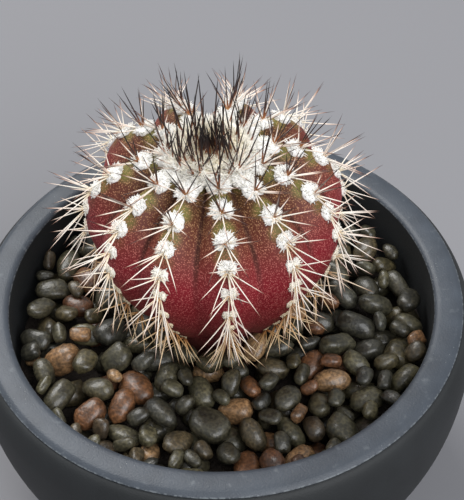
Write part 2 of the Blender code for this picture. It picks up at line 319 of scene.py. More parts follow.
# %% Draw the bowl's section
BOWL_STEPS = 144
RIM_RADIUS = 61.7 * MM
INNER_RADIUS = 54.4 * MM
SHOULDER_Z = 55.4 * MM
SHOULDER_POWER = 1.7
OUTER_DEPTH = 63.7 * MM
OUTER_POWER = 2.23
BOWL_LEVEL = 50.5 * MM
INNER_DEPTH = 55 * MM
FLOOR_THICKNESS = 6 * MM
DRAIN_RADIUS = 6 * MM
DRAIN_BEVEL = 1 * MM
FOOT_ROUND = 1.2 * MM
FOOT_TOP = 1.6 * MM
# the lip: how far it rounds down, the width and height of its inner round, and its highest ring
LIP_DROP = 1.3 * MM
INNER_ROUND = (1.9 * MM, 1.2 * MM)
LIP_TOP_ASIDE = 3.6 * MM
LIP_TOP_DROP = 0.03 * MM
# points of the outer edge, in millimetres: in from the rim's radius and down from its top
OUTER_EDGE = ((1.5, 0.15), (1.1, 0.28), (0.12, 0.85), (0, 0.98), (0.04, 1.4))
OUTER_EDGE_DROP = 1.65 * MM


def arc(centre, radii, start, end, steps):
    """Points on an ellipse's arc from one angle to another, in degrees."""
    angles = [math.radians(start + (end - start) * i / steps) for i in range(steps + 1)]
    return [(centre[0] + radii[0] * math.cos(a), centre[1] + radii[1] * math.sin(a)) for a in angles]


def belly_radius(z):
    """The outside's radius at a height below the shoulder."""
    share = (SHOULDER_Z - z) / OUTER_DEPTH
    return bowl_radius * (1 - share**OUTER_POWER) ** (1 / OUTER_POWER)


def shoulder_radius(z):
    """The outside's radius at a height between the widest level and the rim's edge."""
    share = (z - SHOULDER_Z) / (rim_z - LIP_DROP - SHOULDER_Z)
    swell = (1 - share**SHOULDER_POWER) ** (1 / SHOULDER_POWER)
    return RIM_RADIUS + (bowl_radius - RIM_RADIUS) * swell


def bowl_section():
    """(radius, height) round the wall, from the inner edge of the lip to the same edge again."""
    floor_angle = -math.degrees(math.asin((BOWL_LEVEL - FLOOR_THICKNESS) / INNER_DEPTH))
    foot_radius = belly_radius(0)
    section = arc((INNER_RADIUS + INNER_ROUND[0], rim_z - LIP_DROP), INNER_ROUND, 180, 90, 7)
    section += [(INNER_RADIUS + LIP_TOP_ASIDE, rim_z - LIP_TOP_DROP)]
    section += [(RIM_RADIUS - aside * MM, rim_z - down * MM) for aside, down in OUTER_EDGE]
    section += [(shoulder_radius(z), z) for z in np.linspace(rim_z - OUTER_EDGE_DROP, SHOULDER_Z, 10)]
    section += [(belly_radius(z), z) for z in np.linspace(SHOULDER_Z, FOOT_TOP, 30)[1:]]
    section += arc((foot_radius - FOOT_ROUND, FOOT_ROUND), (FOOT_ROUND, FOOT_ROUND), -20, -90, 3)
    section += [(DRAIN_RADIUS + DRAIN_BEVEL, 0), (DRAIN_RADIUS, DRAIN_BEVEL)]
    section += [(DRAIN_RADIUS, FLOOR_THICKNESS - DRAIN_BEVEL)]
    section += [(DRAIN_RADIUS + DRAIN_BEVEL, FLOOR_THICKNESS)]
    section += arc((0, BOWL_LEVEL), (INNER_RADIUS, INNER_DEPTH), floor_angle, 0, 16)
    return section


print("section points:", len(bowl_section()))

# %% [markdown]
# The clay body is a matt, nearly black engobe with a fine sandy grain. The lip is a little smoother, with
# patches of pale hard-water specks. Its lighter, bluer colour is a painted sheen, and a grainy painted
# highlight runs along its edges. All of it is noise on Object coordinates, held to the lip by the height
# over the foot.

# %% Mix the stoneware
stoneware = Paint("black_stoneware", Specular_IOR_Level=0.45)
height = stoneware.split(stoneware.place(), "Z")
on_lip = stoneware.ease(height, rim_z - 1.5 * MM, rim_z - 0.7 * MM)
mottle = stoneware.grain(90, 5)
sand = stoneware.grain(2600, 2)
clay = stoneware.blend(tint(26, 28, 29), tint(42, 45, 47), mottle)
# the lip is painted lighter and bluer than the clay body: a painted sheen
lip_sheen = stoneware.blend(tint(50, 55, 62), tint(74, 81, 90), stoneware.grain(140, 4))
clay = stoneware.blend(clay, lip_sheen, on_lip)
speck_spots = 1 - stoneware.ease(stoneware.cells(1000), 0.05, 0.12)
speck_patches = stoneware.ease(stoneware.grain(75, 3), 0.50, 0.66)
specks = speck_spots * speck_patches * on_lip
dust = stoneware.ease(stoneware.grain(320, 4), 0.60, 0.78) * on_lip
# a grainy painted highlight along the lip's crisp outer edge and its inner edge
edge = stoneware.ease(height, rim_z - 1.3 * MM, rim_z - 1.05 * MM)
edge = edge * (1 - stoneware.ease(height, rim_z - 0.9 * MM, rim_z - 0.7 * MM))
edge_highlight = edge * stoneware.ease(stoneware.grain(1300, 3), 0.40, 0.62)
clay = stoneware.blend(clay, tint(140, 146, 150), dust * 0.25)
clay = stoneware.blend(clay, tint(150, 156, 160), edge_highlight * 0.38)
stoneware.colour(stoneware.blend(clay, tint(205, 208, 206), specks * 0.85))
stoneware.roughness(0.62 - on_lip * 0.2 + mottle * 0.08)
stoneware.bump(sand * 0.7 + mottle * 1.2 + specks * 0.8, 0.12 * MM)

# %% [markdown]
# A potter throws a bowl on the wheel, and Spin does the same to the section. The last step of the turn
# meets the first, so the seam is merged, and then the normals are made to point outwards.

# %% Turn the bowl
bowl = bmesh.new()
outline = [bowl.verts.new((radius, 0, z)) for radius, z in bowl_section()]
outline_edges = [bowl.edges.new((a, b)) for a, b in zip(outline, outline[1:] + outline[:1])]
bmesh.ops.spin(
    bowl,
    geom=outline + outline_edges,
    cent=(0, 0, 0),
    axis=(0, 0, 1),
    angle=2 * math.pi,
    steps=BOWL_STEPS,
    use_merge=True,
    use_duplicate=False,
)
bmesh.ops.remove_doubles(bowl, verts=bowl.verts, dist=1e-6)
bmesh.ops.recalc_face_normals(bowl, faces=bowl.faces)
finish_piece(bowl, "stoneware_bowl", stoneware, ["pot"], 38)

# %% [markdown]
# ## Soil
# The potting mix is hidden under the dressing, and shows only through the drain hole and the gaps between
# pebbles. Its solid from the frame has the right shape, so it only gets a crumbly paint, a dark brown made
# darker still as painted shade for the gaps.

# %% Paint the soil
soil_paint = Paint("potting_mix", Roughness=0.95)
crumbs = soil_paint.cells(450)
# dark brown soil, darkened further as painted shade in the gaps between pebbles
soil_paint.colour(soil_paint.blend(tint(18, 14, 11), tint(44, 34, 26), soil_paint.grain(260, 4)))
soil_paint.bump(crumbs + soil_paint.grain(900, 3), 0.8 * MM)
soil_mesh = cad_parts["soil"].data
soil_mesh.materials.clear()
soil_mesh.materials.append(soil_paint.material)
print("soil painted")

# %% [markdown]
# ## Plant body
# The plant is one globe with eleven ribs. A rib's crest follows one smooth curve from the sunken crown over
# the shoulder and the belly to the neck in the soil. Between two crests the skin dips into a furrow, which
# is narrow and deep near the crown and almost flat low down. A sphere's grid is drawn out to that form.

# %% Describe a rib's crest
RIB_AZIMUTHS = (-84.5, -54.5, -23.9, 7.6, 43.5, 75.9, 111.9, 146.3, 186.2, 218.3, 245.8)
RIBS = len(RIB_AZIMUTHS)
BODY_RADIUS = 30.9 * MM
CROWN_DIP = 2.6 * MM
CROWN_DIP_RADIUS = 12 * MM
BELLY_DROP = 31 * MM
NECK_RADIUS = 14.5 * MM
ROOT_RADIUS = 12 * MM
ROOT_DROP = 50 * MM
WIDEST_LEVEL = 0.56


def crest(level):
    """(radius, height over the widest level) of a rib's crest, for a level from 0, crown, to 1, root."""
    if level <= WIDEST_LEVEL:
        latitude = math.pi / 2 * (1 - level / WIDEST_LEVEL)
        radius = BODY_RADIUS * max(math.cos(latitude), 0) ** 0.83
        share = min(max(1 - radius / CROWN_DIP_RADIUS, 0), 1)
        dip = CROWN_DIP * share * share * (3 - 2 * share)
        return radius, CROWN_RISE * math.sin(latitude) ** 0.81 - dip
    drop = ROOT_DROP * (level - WIDEST_LEVEL) / (1 - WIDEST_LEVEL)
    if drop < BELLY_DROP:
        share = (1 - (drop / BELLY_DROP) ** 1.6) ** 0.9
        return NECK_RADIUS + (BODY_RADIUS - NECK_RADIUS) * share, -drop
    share = (drop - BELLY_DROP) / (ROOT_DROP - BELLY_DROP)
    return NECK_RADIUS + (ROOT_RADIUS - NECK_RADIUS) * share, -drop


def level_at(latitude):
    """The level of a latitude in degrees: 90 at the crown, 0 at the widest, below 0 under the belly."""
    if latitude >= 0:
        return WIDEST_LEVEL * (1 - latitude / 90)
    drop = BELLY_DROP * math.sin(math.radians(-latitude))
    return WIDEST_LEVEL + (1 - WIDEST_LEVEL) * drop / ROOT_DROP


def crest_normal(level):
    """The outward direction across the crest as (radial, up)."""
    above = crest(max(level - 0.004, 0))
    below = crest(min(level + 0.004, 1))
    return Vector((above[1] - below[1], below[0] - above[0])).normalized()


def rib_azimuth(position):
    """The azimuth in radians at a position counted in ribs, so 2.5 is midway between two crests."""
    rib = math.floor(position) % RIBS
    start = RIB_AZIMUTHS[rib]
    end = RIB_AZIMUTHS[(rib + 1) % RIBS] + (360 if rib + 1 == RIBS else 0)
    return math.radians(start + (end - start) * (position - math.floor(position)))


print("crest radius at the widest level:", round(crest(WIDEST_LEVEL)[0], 4))

# %% [markdown]
# The areoles, the woolly pads that carry the spines, sit on the crests like buttons on a coat. Young ones
# crowd at the crown, and they move apart and down the rib as the plant grows. One ladder of steps serves
# every rib, and each rib starts it at its own latitude, so neighbours are staggered.

# %% Place the areoles
FIRST_LATITUDES = (57.5, 64, 58.5, 54.5, 63, 52.5, 56, 54.5, 61, 63.5, 65.5)
LADDER = (-13, 0, 17, 33.5, 49.5, 63, 76, 88, 101, 117)


def areoles_of(rib):
    """(age, latitude) of the areoles down one rib, the youngest first."""
    return [(age, FIRST_LATITUDES[rib] - step) for age, step in enumerate(LADDER)]


def areole_frame(rib, latitude):
    """The place of an areole: +Z out of the skin, +Y up the rib, +X across it."""
    level = level_at(latitude)
    radius, height = crest(level)
    normal = crest_normal(level)
    azimuth = math.radians(RIB_AZIMUTHS[rib])
    radial = Vector((math.cos(azimuth), math.sin(azimuth), 0))
    outward = radial * normal.x + Vector((0, 0, normal.y))
    across = Vector((-radial.y, radial.x, 0))
    centre = Vector((plant_x, plant_y, widest_z + height)) + radial * radius
    axes = Matrix((across, outward.cross(across), outward)).transposed().to_4x4()
    return Matrix.Translation(centre) @ axes


print("areoles:", sum(len(areoles_of(rib)) for rib in range(RIBS)))

# %% [markdown]
# The body is a sphere whose every point is moved to its place on the ribs, with a low swelling, a tubercle,
# under each areole. Its grid also keeps what the paint needs to know at each point: how deep in a furrow it
# lies, how far down the plant, and how close above an areole, where young skin stays green.

# %% Shape the body
BODY_STEPS_PER_RIB = 20
BODY_LEVELS = 120
TUBERCLE_RISE = 0.55 * MM
TUBERCLE_REACH = 3.4 * MM
FURROW_SOFTNESS = 0.14
FURROW_ROUNDNESS = 2.2
BELLY_FURROW = 2.1 * MM
CROWN_FURROW = 3.2 * MM
# degrees up the rib from an areole to the middle of its green patch
YOUTH_LIFT = 6.5
YOUTH_REACH = 3.4 * MM


def furrow_depth(level, radius):
    """How far the furrow's floor lies under the crests."""
    if level <= WIDEST_LEVEL:
        latitude = math.pi / 2 * (1 - level / WIDEST_LEVEL)
        return min(BELLY_FURROW + CROWN_FURROW * math.sin(1.65 * latitude), 0.3 * radius)
    return BELLY_FURROW * max(1 - (level - WIDEST_LEVEL) / (1 - WIDEST_LEVEL) * 1.25, 0)


def skin_point(position, level):
    """(radius, height) of the skin at a position counted in ribs and a level."""
    off_crest = 2 * abs(position - round(position))
    softened = 1 - math.hypot(1 - off_crest, FURROW_SOFTNESS)
    radius, height = crest(level)
    normal = crest_normal(level)
    depth = furrow_depth(level, radius) * max(softened, 0) ** FURROW_ROUNDNESS
    rib = round(position) % RIBS
    sideways = off_crest * math.pi * radius / RIBS
    for _, latitude in areoles_of(rib):
        where = crest(level_at(latitude))
        along = math.dist((radius, height), where)
        depth -= TUBERCLE_RISE * math.exp(-((along**2 + sideways**2) / TUBERCLE_REACH**2))
    return max(radius - normal.x * depth, 0), height - normal.y * depth


def youth_above(position, level):
    """How close a point lies to the crown side of an areole, from 0 to 1."""
    radius, height = crest(level)
    sideways = 2 * abs(position - round(position)) * math.pi * radius / RIBS
    closest = 0
    for _, latitude in areoles_of(round(position) % RIBS):
        where = crest(level_at(latitude + YOUTH_LIFT))
        distance = math.dist((radius, height), where) ** 2 + (0.85 * sideways) ** 2
        closest = max(closest, math.exp(-distance / YOUTH_REACH**2))
    return closest


skin = bmesh.new()
bmesh.ops.create_uvsphere(skin, u_segments=RIBS * BODY_STEPS_PER_RIB, v_segments=BODY_LEVELS, radius=1)
furrow_layer = skin.verts.layers.float.new("furrow")
level_layer = skin.verts.layers.float.new("level")
youth_layer = skin.verts.layers.float.new("youth")
for vert in skin.verts:
    level = 0.5 - math.asin(max(-1, min(1, vert.co.z))) / math.pi
    position = math.atan2(vert.co.y, vert.co.x) / (2 * math.pi) * RIBS % RIBS
    vert[level_layer] = level
    vert[furrow_layer] = 2 * abs(position - round(position))
    vert[youth_layer] = youth_above(position, level)
    radius, height = skin_point(position, level)
    azimuth = rib_azimuth(position)
    vert.co.x = plant_x + radius * math.cos(azimuth)
    vert.co.y = plant_y + radius * math.sin(azimuth)
    vert.co.z = widest_z + height
bmesh.ops.recalc_face_normals(skin, faces=skin.faces)
print("body points:", len(skin.verts))

# %% [markdown]
# The skin is a deep red, browner towards the crown and olive green just above each young areole. It is
# peppered all over with fine pale dots, which give it a glitter. Old skin at the base turns to tan cork.

# %% Mix the skin
skin_paint = Paint("speckled_skin", Specular_IOR_Level=0.42, Coat_Roughness=0.3)
level = skin_paint.attribute("level")
furrow = skin_paint.attribute("furrow")
youth = skin_paint.attribute("youth")
mottle = skin_paint.grain(160, 4)
reds = skin_paint.ramp(
    level + (mottle - 0.5) * 0.10,
    (0.10, tint(84, 60, 34)),
    (0.24, tint(98, 52, 36)),
    (0.37, tint(110, 46, 36)),
    (0.52, tint(130, 20, 32)),
    (0.76, tint(104, 8, 20)),
    (0.86, tint(84, 20, 20)),
    (0.93, tint(90, 54, 34)),
)
still_young = 1 - skin_paint.ease(level, 0.26, 0.48)
green_patch = skin_paint.ease(youth + (mottle - 0.5) * 0.3, 0.35, 0.85) * still_young
reds = skin_paint.blend(reds, tint(114, 110, 52), green_patch * 0.95)
furrow_shade = skin_paint.ease(furrow, 0.84, 0.98) * (1 - skin_paint.ease(level, 0.34, 0.66))
reds = skin_paint.blend(reds, tint(58, 24, 14), furrow_shade * 0.9)
dots = 1 - skin_paint.ease(skin_paint.cells(2500), 0.27, 0.47)
dot_strength = skin_paint.ease(skin_paint.grain(1100, 2), 0.40, 0.60)
old = skin_paint.ease(level, 0.80, 0.90)
dots = dots * (0.45 + dot_strength * 0.55) * (1 - old) * (1 - furrow_shade * 0.7)
dots = dots * (1 - skin_paint.ease(level, 0.5, 0.8) * 0.35)
dot_colour = skin_paint.blend(tint(204, 160, 112), tint(212, 116, 110), skin_paint.ease(level, 0.2, 0.5))
skin_paint.colour(skin_paint.blend(reds, dot_colour, dots * 0.78))
skin_paint.roughness(0.52 + mottle * 0.14 + old * 0.25 + furrow_shade * 0.3 - dots * 0.1)
cork = old * skin_paint.grain(500, 4) * 3
skin_paint.bump(dots * 0.6 + skin_paint.grain(1300, 3) * 0.6 + cork, 0.1 * MM)
finish_piece(skin, "cactus_body_skin", skin_paint, ["cactus_body"])

# %% [markdown]
# ## Hairs and spines
# A spine and a strand of wool are the same form at two sizes: a thin cone that bends a little. One pattern
# cone is cut into rings, and every spine is a copy of it drawn out along its own curve. Two numbers stay
# with each point: how far along the spine it is, and the spine's tone, from pale and old to dark and young.


# %% Copy a pattern
def keep_pattern(bm, name):
    """Turns a bmesh into a mesh to be copied many times."""
    mesh = bpy.data.meshes.new(name)
    bm.to_mesh(mesh)
    bm.free()
    return mesh


def copy_in(bm, pattern):
    """Adds a copy of a pattern to a bmesh and returns its points."""
    first = len(bm.verts)
    bm.from_mesh(pattern)
    bm.verts.ensure_lookup_table()
    return bm.verts[first:]


def ball_pattern(cuts):
    """A unit ball with even square faces, to be copied many times."""
    ball = bmesh.new()
    bmesh.ops.create_cube(ball, size=2)
    bmesh.ops.subdivide_edges(ball, edges=ball.edges, cuts=cuts, use_grid_fill=True)
    for vert in ball.verts:
        vert.co.normalize()
    return keep_pattern(ball, "ball_pattern")


print("pattern helpers ready")

# %% [markdown]
# The cone is cut into rings by planes, so that it can bend. Its rings are spread along the spine and pushed
# aside by the square of the way along, as a growing spine bends.


# %% Draw out a bent cone
CONE_FULLNESS = 0.5


def cone_pattern(sides, rings):
    """A unit cone along +Z, cut into rings, to be copied many times."""
    pattern = bmesh.new()
    bmesh.ops.create_cone(pattern, cap_ends=True, segments=sides, radius1=1, radius2=0, depth=1)
    bmesh.ops.translate(pattern, vec=(0, 0, 0.5), verts=pattern.verts)
    for ring in range(1, rings):
        bmesh.ops.bisect_plane(
            pattern,
            geom=[*pattern.verts, *pattern.edges, *pattern.faces],
            plane_co=(0, 0, ring / rings),
            plane_no=(0, 0, 1),
        )
    return keep_pattern(pattern, "cone_pattern")


def add_cone(bm, pattern, base, direction, length, thickness, bend, tone):
    """Adds one bent cone to a bmesh. bend is how far its tip moves aside, as a vector."""
    added = copy_in(bm, pattern)
    along_layer = bm.verts.layers.float["along"]
    tone_layer = bm.verts.layers.float["tone"]
    side = direction.orthogonal().normalized()
    other = direction.cross(side)
    for vert in added:
        share = vert.co.z
        spread = math.hypot(vert.co.x, vert.co.y)
        width = thickness * (1 - share) ** CONE_FULLNESS if share < 0.999 else 0
        around = (side * vert.co.x + other * vert.co.y) / max(spread, 1e-6) * width
        vert[along_layer] = share
        vert[tone_layer] = tone
        vert.co = base + direction * (length * share) + bend * (share * share) + around


def new_bundle():
    """An empty bmesh with the two values that spines and wool keep."""
    bm = bmesh.new()
    bm.verts.layers.float.new("along")
    bm.verts.layers.float.new("tone")
    return bm


def leaning(place, tilt, turn):
    """A direction tilted off an areole's outward axis, towards a turn from its downward side."""
    local = Vector((math.sin(tilt) * math.sin(turn), -math.sin(tilt) * math.cos(turn), math.cos(tilt)))
    return (place.to_3x3() @ local).normalized()


def any_side(dice):
    """A random vector, up to 1 along each axis."""
    return Vector([dice.uniform(-1, 1) for _ in range(3)])


spine_pattern = cone_pattern(5, 5)
hair_pattern = cone_pattern(3, 2)
lobe_pattern = ball_pattern(4)
print("spine pattern faces:", len(spine_pattern.polygons), "hair:", len(hair_pattern.polygons))

# %% [markdown]
# Spines grow pale from an amber foot and end in a dark tip. The youngest, at the crown, are nearly black
# for most of their length, and the oldest at the base have weathered to straw and rust.

# %% Mix the spine and wool paints
spine_paint = Paint("spine_horn", Specular_IOR_Level=0.5)
along = spine_paint.attribute("along")
tone = spine_paint.attribute("tone")
pale = spine_paint.ramp(
    along + spine_paint.ease(tone, 0.32, 0.62) * 0.28,
    (0.0, tint(226, 176, 120)),
    (0.12, tint(248, 230, 200)),
    (0.40, tint(254, 249, 238)),
    (0.74, tint(248, 228, 212)),
    (0.93, tint(156, 112, 92)),
    (1.0, tint(74, 50, 46)),
)
dark = spine_paint.ramp(
    along,
    (0.0, tint(232, 184, 124)),
    (0.12, tint(170, 104, 60)),
    (0.30, tint(66, 38, 30)),
    (0.6, tint(34, 24, 24)),
    (1.0, tint(20, 15, 16)),
)
straw = spine_paint.ramp(
    along,
    (0.0, tint(150, 84, 36)),
    (0.25, tint(206, 158, 100)),
    (0.7, tint(232, 206, 164)),
    (1.0, tint(170, 120, 88)),
)
horn = spine_paint.blend(pale, dark, spine_paint.ease(tone, 0.6, 0.9))
horn = spine_paint.blend(straw, horn, spine_paint.ease(tone, 0.05, 0.3))
spine_paint.colour(horn)
spine_paint.roughness(0.42 + spine_paint.grain(700, 2) * 0.2)
wool_paint = Paint("areole_wool", Roughness=0.95, Specular_IOR_Level=0.1)
tone = wool_paint.attribute("tone")
fleece = wool_paint.ramp(
    tone + (wool_paint.grain(420, 3) - 0.5) * 0.25,
    (0.0, tint(150, 120, 84)),
    (0.3, tint(236, 220, 186)),
    (0.6, tint(254, 246, 226)),
    (1.0, tint(255, 254, 251)),
)
wool_paint.colour(fleece)
wool_paint.bump(wool_paint.grain(1500, 3), 0.15 * MM)
print("paints mixed")

# %% [markdown]
# ## Areoles
# Each pad gets a lumpy cushion, a halo of short hairs, and its spines. The wool lies on the crown side of
# the pad and the spines leave from the outer side. Most spines fan out sideways and down. Young pads also
# stand a few dark ones upright.

# %% Plan what an areole of each age carries
WOOL_SIZES = (2.6, 2.75, 2.6, 2.3, 2.05, 1.8, 1.5, 1.3, 1.15, 1.0)
WOOL_TONES = (1.0, 1.0, 1.0, 0.95, 0.85, 0.7, 0.5, 0.35, 0.22, 0.15)
HAIR_COUNTS = (150, 160, 140, 110, 80, 60, 40, 26, 18, 12)
FAN = (
    (-8, 66, 12.5),
    (14, 60, 13.0),
    (-32, 56, 13.0),
    (35, 54, 13.5),
    (-58, 50, 11.5),
    (60, 50, 12.0),
    (-102, 38, 9.0),
    (106, 38, 9.0),
)
FAN_TONES = (0.68, 0.60, 0.48, 0.38, 0.33, 0.27, 0.18, 0.1, 0.03, 0.0)
FAN_GROWTH = (0.8, 0.88, 0.94, 0.98, 1.0, 1.0, 1.0, 0.98, 0.9, 0.8)
UPRIGHT_COUNTS = (5, 4, 3, 2, 1, 1, 1, 1, 0, 0)
UPRIGHT_TONES = (1.0, 0.95, 0.78, 0.55, 0.42, 0.34, 0.25, 0.1, 0.0, 0.0)
# lobes of wool as shares of the pad's size: across, towards the crown, half width, half height
LOBES = ((-0.40, 0.10, 0.50, 0.74), (0.40, 0.10, 0.50, 0.74), (0.0, 0.50, 0.60, 0.52))
print("spines on a young areole: up to", len(FAN) + UPRIGHT_COUNTS[1])

# %% [markdown]
# Wool is too fine to model strand by strand, so a pad is a few lumpy balls that give its mass, with coarse
# tufts rooted all over them that break up the outline. The tufts lean outwards more the nearer they stand
# to the pad's edge.

# %% Tuft the wool
HAIR_THICKNESS = 0.2 * MM
HAIR_BEND = 0.22


def add_lobe(bm, form, tone, seed):
    """Adds one lumpy cushion of wool."""
    tone_layer = bm.verts.layers.float["tone"]
    for vert in copy_in(bm, lobe_pattern):
        lump = 1 + 0.3 * noise.noise(vert.co * 2.3 + Vector((seed, 0, 0)))
        vert[tone_layer] = tone
        vert.co = form @ (vert.co * lump)


def add_pad(bm, place, size, tone, hairs, lobes, dice):
    """Adds one woolly pad: lumpy lobes round the spines, and coarse tufts of hair combed outwards."""
    turned = place.to_3x3()
    for across, upward, half_width, half_height in lobes:
        shift = Matrix.Translation((across * size, upward * size, 0))
        stretch = Matrix.Diagonal((half_width * size, half_height * size, 0.40 * size, 1))
        form = shift @ stretch
        add_lobe(bm, place @ form, tone, dice.uniform(0, 50))
        for _ in range(hairs // len(lobes)):
            turn = dice.uniform(0, 2 * math.pi)
            reach = math.sqrt(dice.random())
            crown = math.sqrt(1 - reach * reach) * 0.85
            root = form @ Vector((reach * math.cos(turn), reach * math.sin(turn), crown))
            outwards = Vector((root.x, root.y, 0)) / size
            tilt = 0.25 + 0.95 * min(outwards.length, 1.2) + dice.gauss(0, 0.18)
            side = outwards.normalized() * math.sin(tilt)
            side += Vector((dice.gauss(0, 0.2), dice.gauss(0, 0.2), math.cos(tilt)))
            direction = (turned @ side).normalized()
            length = size * dice.uniform(0.24, 0.5)
            bend = any_side(dice) * HAIR_BEND * length
            bend -= turned @ Vector((0, 0, HAIR_BEND * length))
            shade = tone + dice.uniform(-0.14, 0.08)
            add_cone(bm, hair_pattern, place @ root, direction, length, HAIR_THICKNESS, bend, shade)


print("wool helpers ready")

# %% [markdown]
# The spines of a pad start at one foot, a little below its middle. The fan is nearly the same on every pad,
# and the dice leave out a spine here and there and turn the others a little, so that no two pads match.

# %% Set the spines
FAN_THICKNESS = 0.18 * MM
UPRIGHT_THICKNESS = 0.21 * MM
SPINE_LIFT = 0.3 * MM
# the fan's first six spines are seldom missing, and the two after them often
LOWER_SPINES = 6
LOWER_MISSING = 0.08
UPPER_MISSING = 0.4


def add_spine(bm, foot, aim, length, thickness, wobble, tone, dice):
    """Adds one spine that bends a little to any side."""
    bend = any_side(dice) * wobble * length
    add_cone(bm, spine_pattern, foot + aim * SPINE_LIFT, aim, length, thickness, bend, tone)


def add_spines(bm, place, age, dice):
    """Adds the spines of one areole: the fan, and the upright ones in its middle."""
    foot = place @ Vector((0, -0.35 * MM, 0.2 * MM))
    for number, (turn, tilt, length) in enumerate(FAN):
        if dice.random() < (LOWER_MISSING if number < LOWER_SPINES else UPPER_MISSING):
            continue
        lean = math.radians(tilt + dice.gauss(0, 7))
        aim = leaning(place, lean, math.radians(turn + dice.gauss(0, 8)))
        reach = length * MM * FAN_GROWTH[age] * dice.uniform(0.8, 1.1)
        tone = FAN_TONES[age] + dice.uniform(-0.06, 0.06)
        add_spine(bm, foot, aim, reach, FAN_THICKNESS, 0.05, tone, dice)
    for _ in range(UPRIGHT_COUNTS[age]):
        lean = math.radians(dice.uniform(4, 34))
        aim = leaning(place, lean, dice.uniform(0, 2 * math.pi))
        reach = dice.uniform(8.5, 12.5) * MM
        tone = UPRIGHT_TONES[age] + dice.uniform(-0.1, 0.05)
        add_spine(bm, foot, aim, reach, UPRIGHT_THICKNESS, 0.04, tone, dice)


print("spine helpers ready")

# %% [markdown]
# Each rib's spines become one piece and its wool another, and both stand for the five plain areoles that
# the frame has on that rib. A rib has its own dice, so a change to one rib leaves the others as they are.

# %% Grow the areoles, rib by rib
for rib in range(RIBS):
    dice = random.Random(700 + rib)
    wool = new_bundle()
    spines = new_bundle()
    for age, latitude in areoles_of(rib):
        place = areole_frame(rib, latitude) @ Matrix.Translation((0, 0, TUBERCLE_RISE * 0.7))
        lobes = LOBES if age < 4 else LOBES[:2]
        add_pad(wool, place, WOOL_SIZES[age] * MM, WOOL_TONES[age], HAIR_COUNTS[age], lobes, dice)
        add_spines(spines, place, age, dice)
    nodes = [f"areole_rib{rib + 1:02d}_row{row}" for row in range(1, 6)]
    finish_piece(spines, f"spines_rib_{rib + 1:02d}", spine_paint, nodes)
    finish_piece(wool, f"wool_rib_{rib + 1:02d}", wool_paint, nodes)

# %% [markdown]
# ## Crown
# At the crown the youngest pads run together into a ring of white wool, cream towards the middle. Out of
# the ring stands a dense tuft of new spines, almost black, which cross over the growing point.

# %% Felt the crown's wool
CROWN_WOOL_RADIUS = 10.9 * MM
CROWN_HOLLOW_RADIUS = 4.4 * MM
CROWN_WOOL_HEIGHT = 2.8 * MM
CROWN_HAIRS = 2600
CROWN_PAD_LATITUDE = 72
CROWN_PAD_SIZE = 3.1 * MM
CROWN_PAD_TONE = 0.95
CROWN_PAD_HAIRS = 150
crown_foot = Vector((plant_x - 0.7 * MM, plant_y - 0.6 * MM, crown_low.z - 0.6 * MM))
crown_dice = random.Random(41)
crown_wool = new_bundle()
tone_layer = crown_wool.verts.layers.float["tone"]


def crown_height(reach):
    """The wool's height at a share of its radius: a ring that sinks to a hollow in the middle."""
    hollow = math.exp(-((reach * CROWN_WOOL_RADIUS / CROWN_HOLLOW_RADIUS) ** 2))
    return CROWN_WOOL_HEIGHT * (math.sqrt(max(1 - reach**4, 0)) - hollow)


for vert in copy_in(crown_wool, ball_pattern(24)):
    reach = min(math.hypot(vert.co.x, vert.co.y), 1)
    lump = noise.noise(vert.co * 4.2 + Vector((3, 1, 0)))
    top = crown_height(reach) * (1 + 0.5 * lump) if vert.co.z > 0 else -0.8 * MM
    vert[tone_layer] = 0.2 + 0.7 * reach
    flat = Vector((vert.co.x, vert.co.y, 0)) * CROWN_WOOL_RADIUS * (1 + 0.10 * lump)
    vert.co = crown_foot + flat + Vector((0, 0, top))
for _ in range(CROWN_HAIRS):
    turn = crown_dice.uniform(0, 2 * math.pi)
    reach = math.sqrt(crown_dice.uniform(0.08, 1.0))
    across = Vector((math.cos(turn), math.sin(turn), 0))
    root = crown_foot + across * reach * CROWN_WOOL_RADIUS
    root.z += crown_height(reach) * 0.85
    lean = 1.9 * (reach - 0.55) + crown_dice.gauss(0, 0.3)
    side = Vector((-across.y, across.x, 0)) * crown_dice.gauss(0, 0.35)
    direction = (Vector((0, 0, 1)) + across * lean + side).normalized()
    length = crown_dice.uniform(1.2, 2.8) * MM
    bend = any_side(crown_dice) * HAIR_BEND * length
    shade = 0.3 + 0.65 * reach + crown_dice.uniform(-0.12, 0.1)
    add_cone(crown_wool, hair_pattern, root, direction, length, HAIR_THICKNESS, bend, shade)
for rib in range(RIBS):
    place = areole_frame(rib, CROWN_PAD_LATITUDE)
    add_pad(crown_wool, place, CROWN_PAD_SIZE, CROWN_PAD_TONE, CROWN_PAD_HAIRS, LOBES, crown_dice)
finish_piece(crown_wool, "crown_fleece", wool_paint, ["crown_tuft"])

# %% [markdown]
# The tuft stands in rings round the growing point. Each ring has its own lean, so the inner spines cross
# over the middle and the outer ones open like a cup.

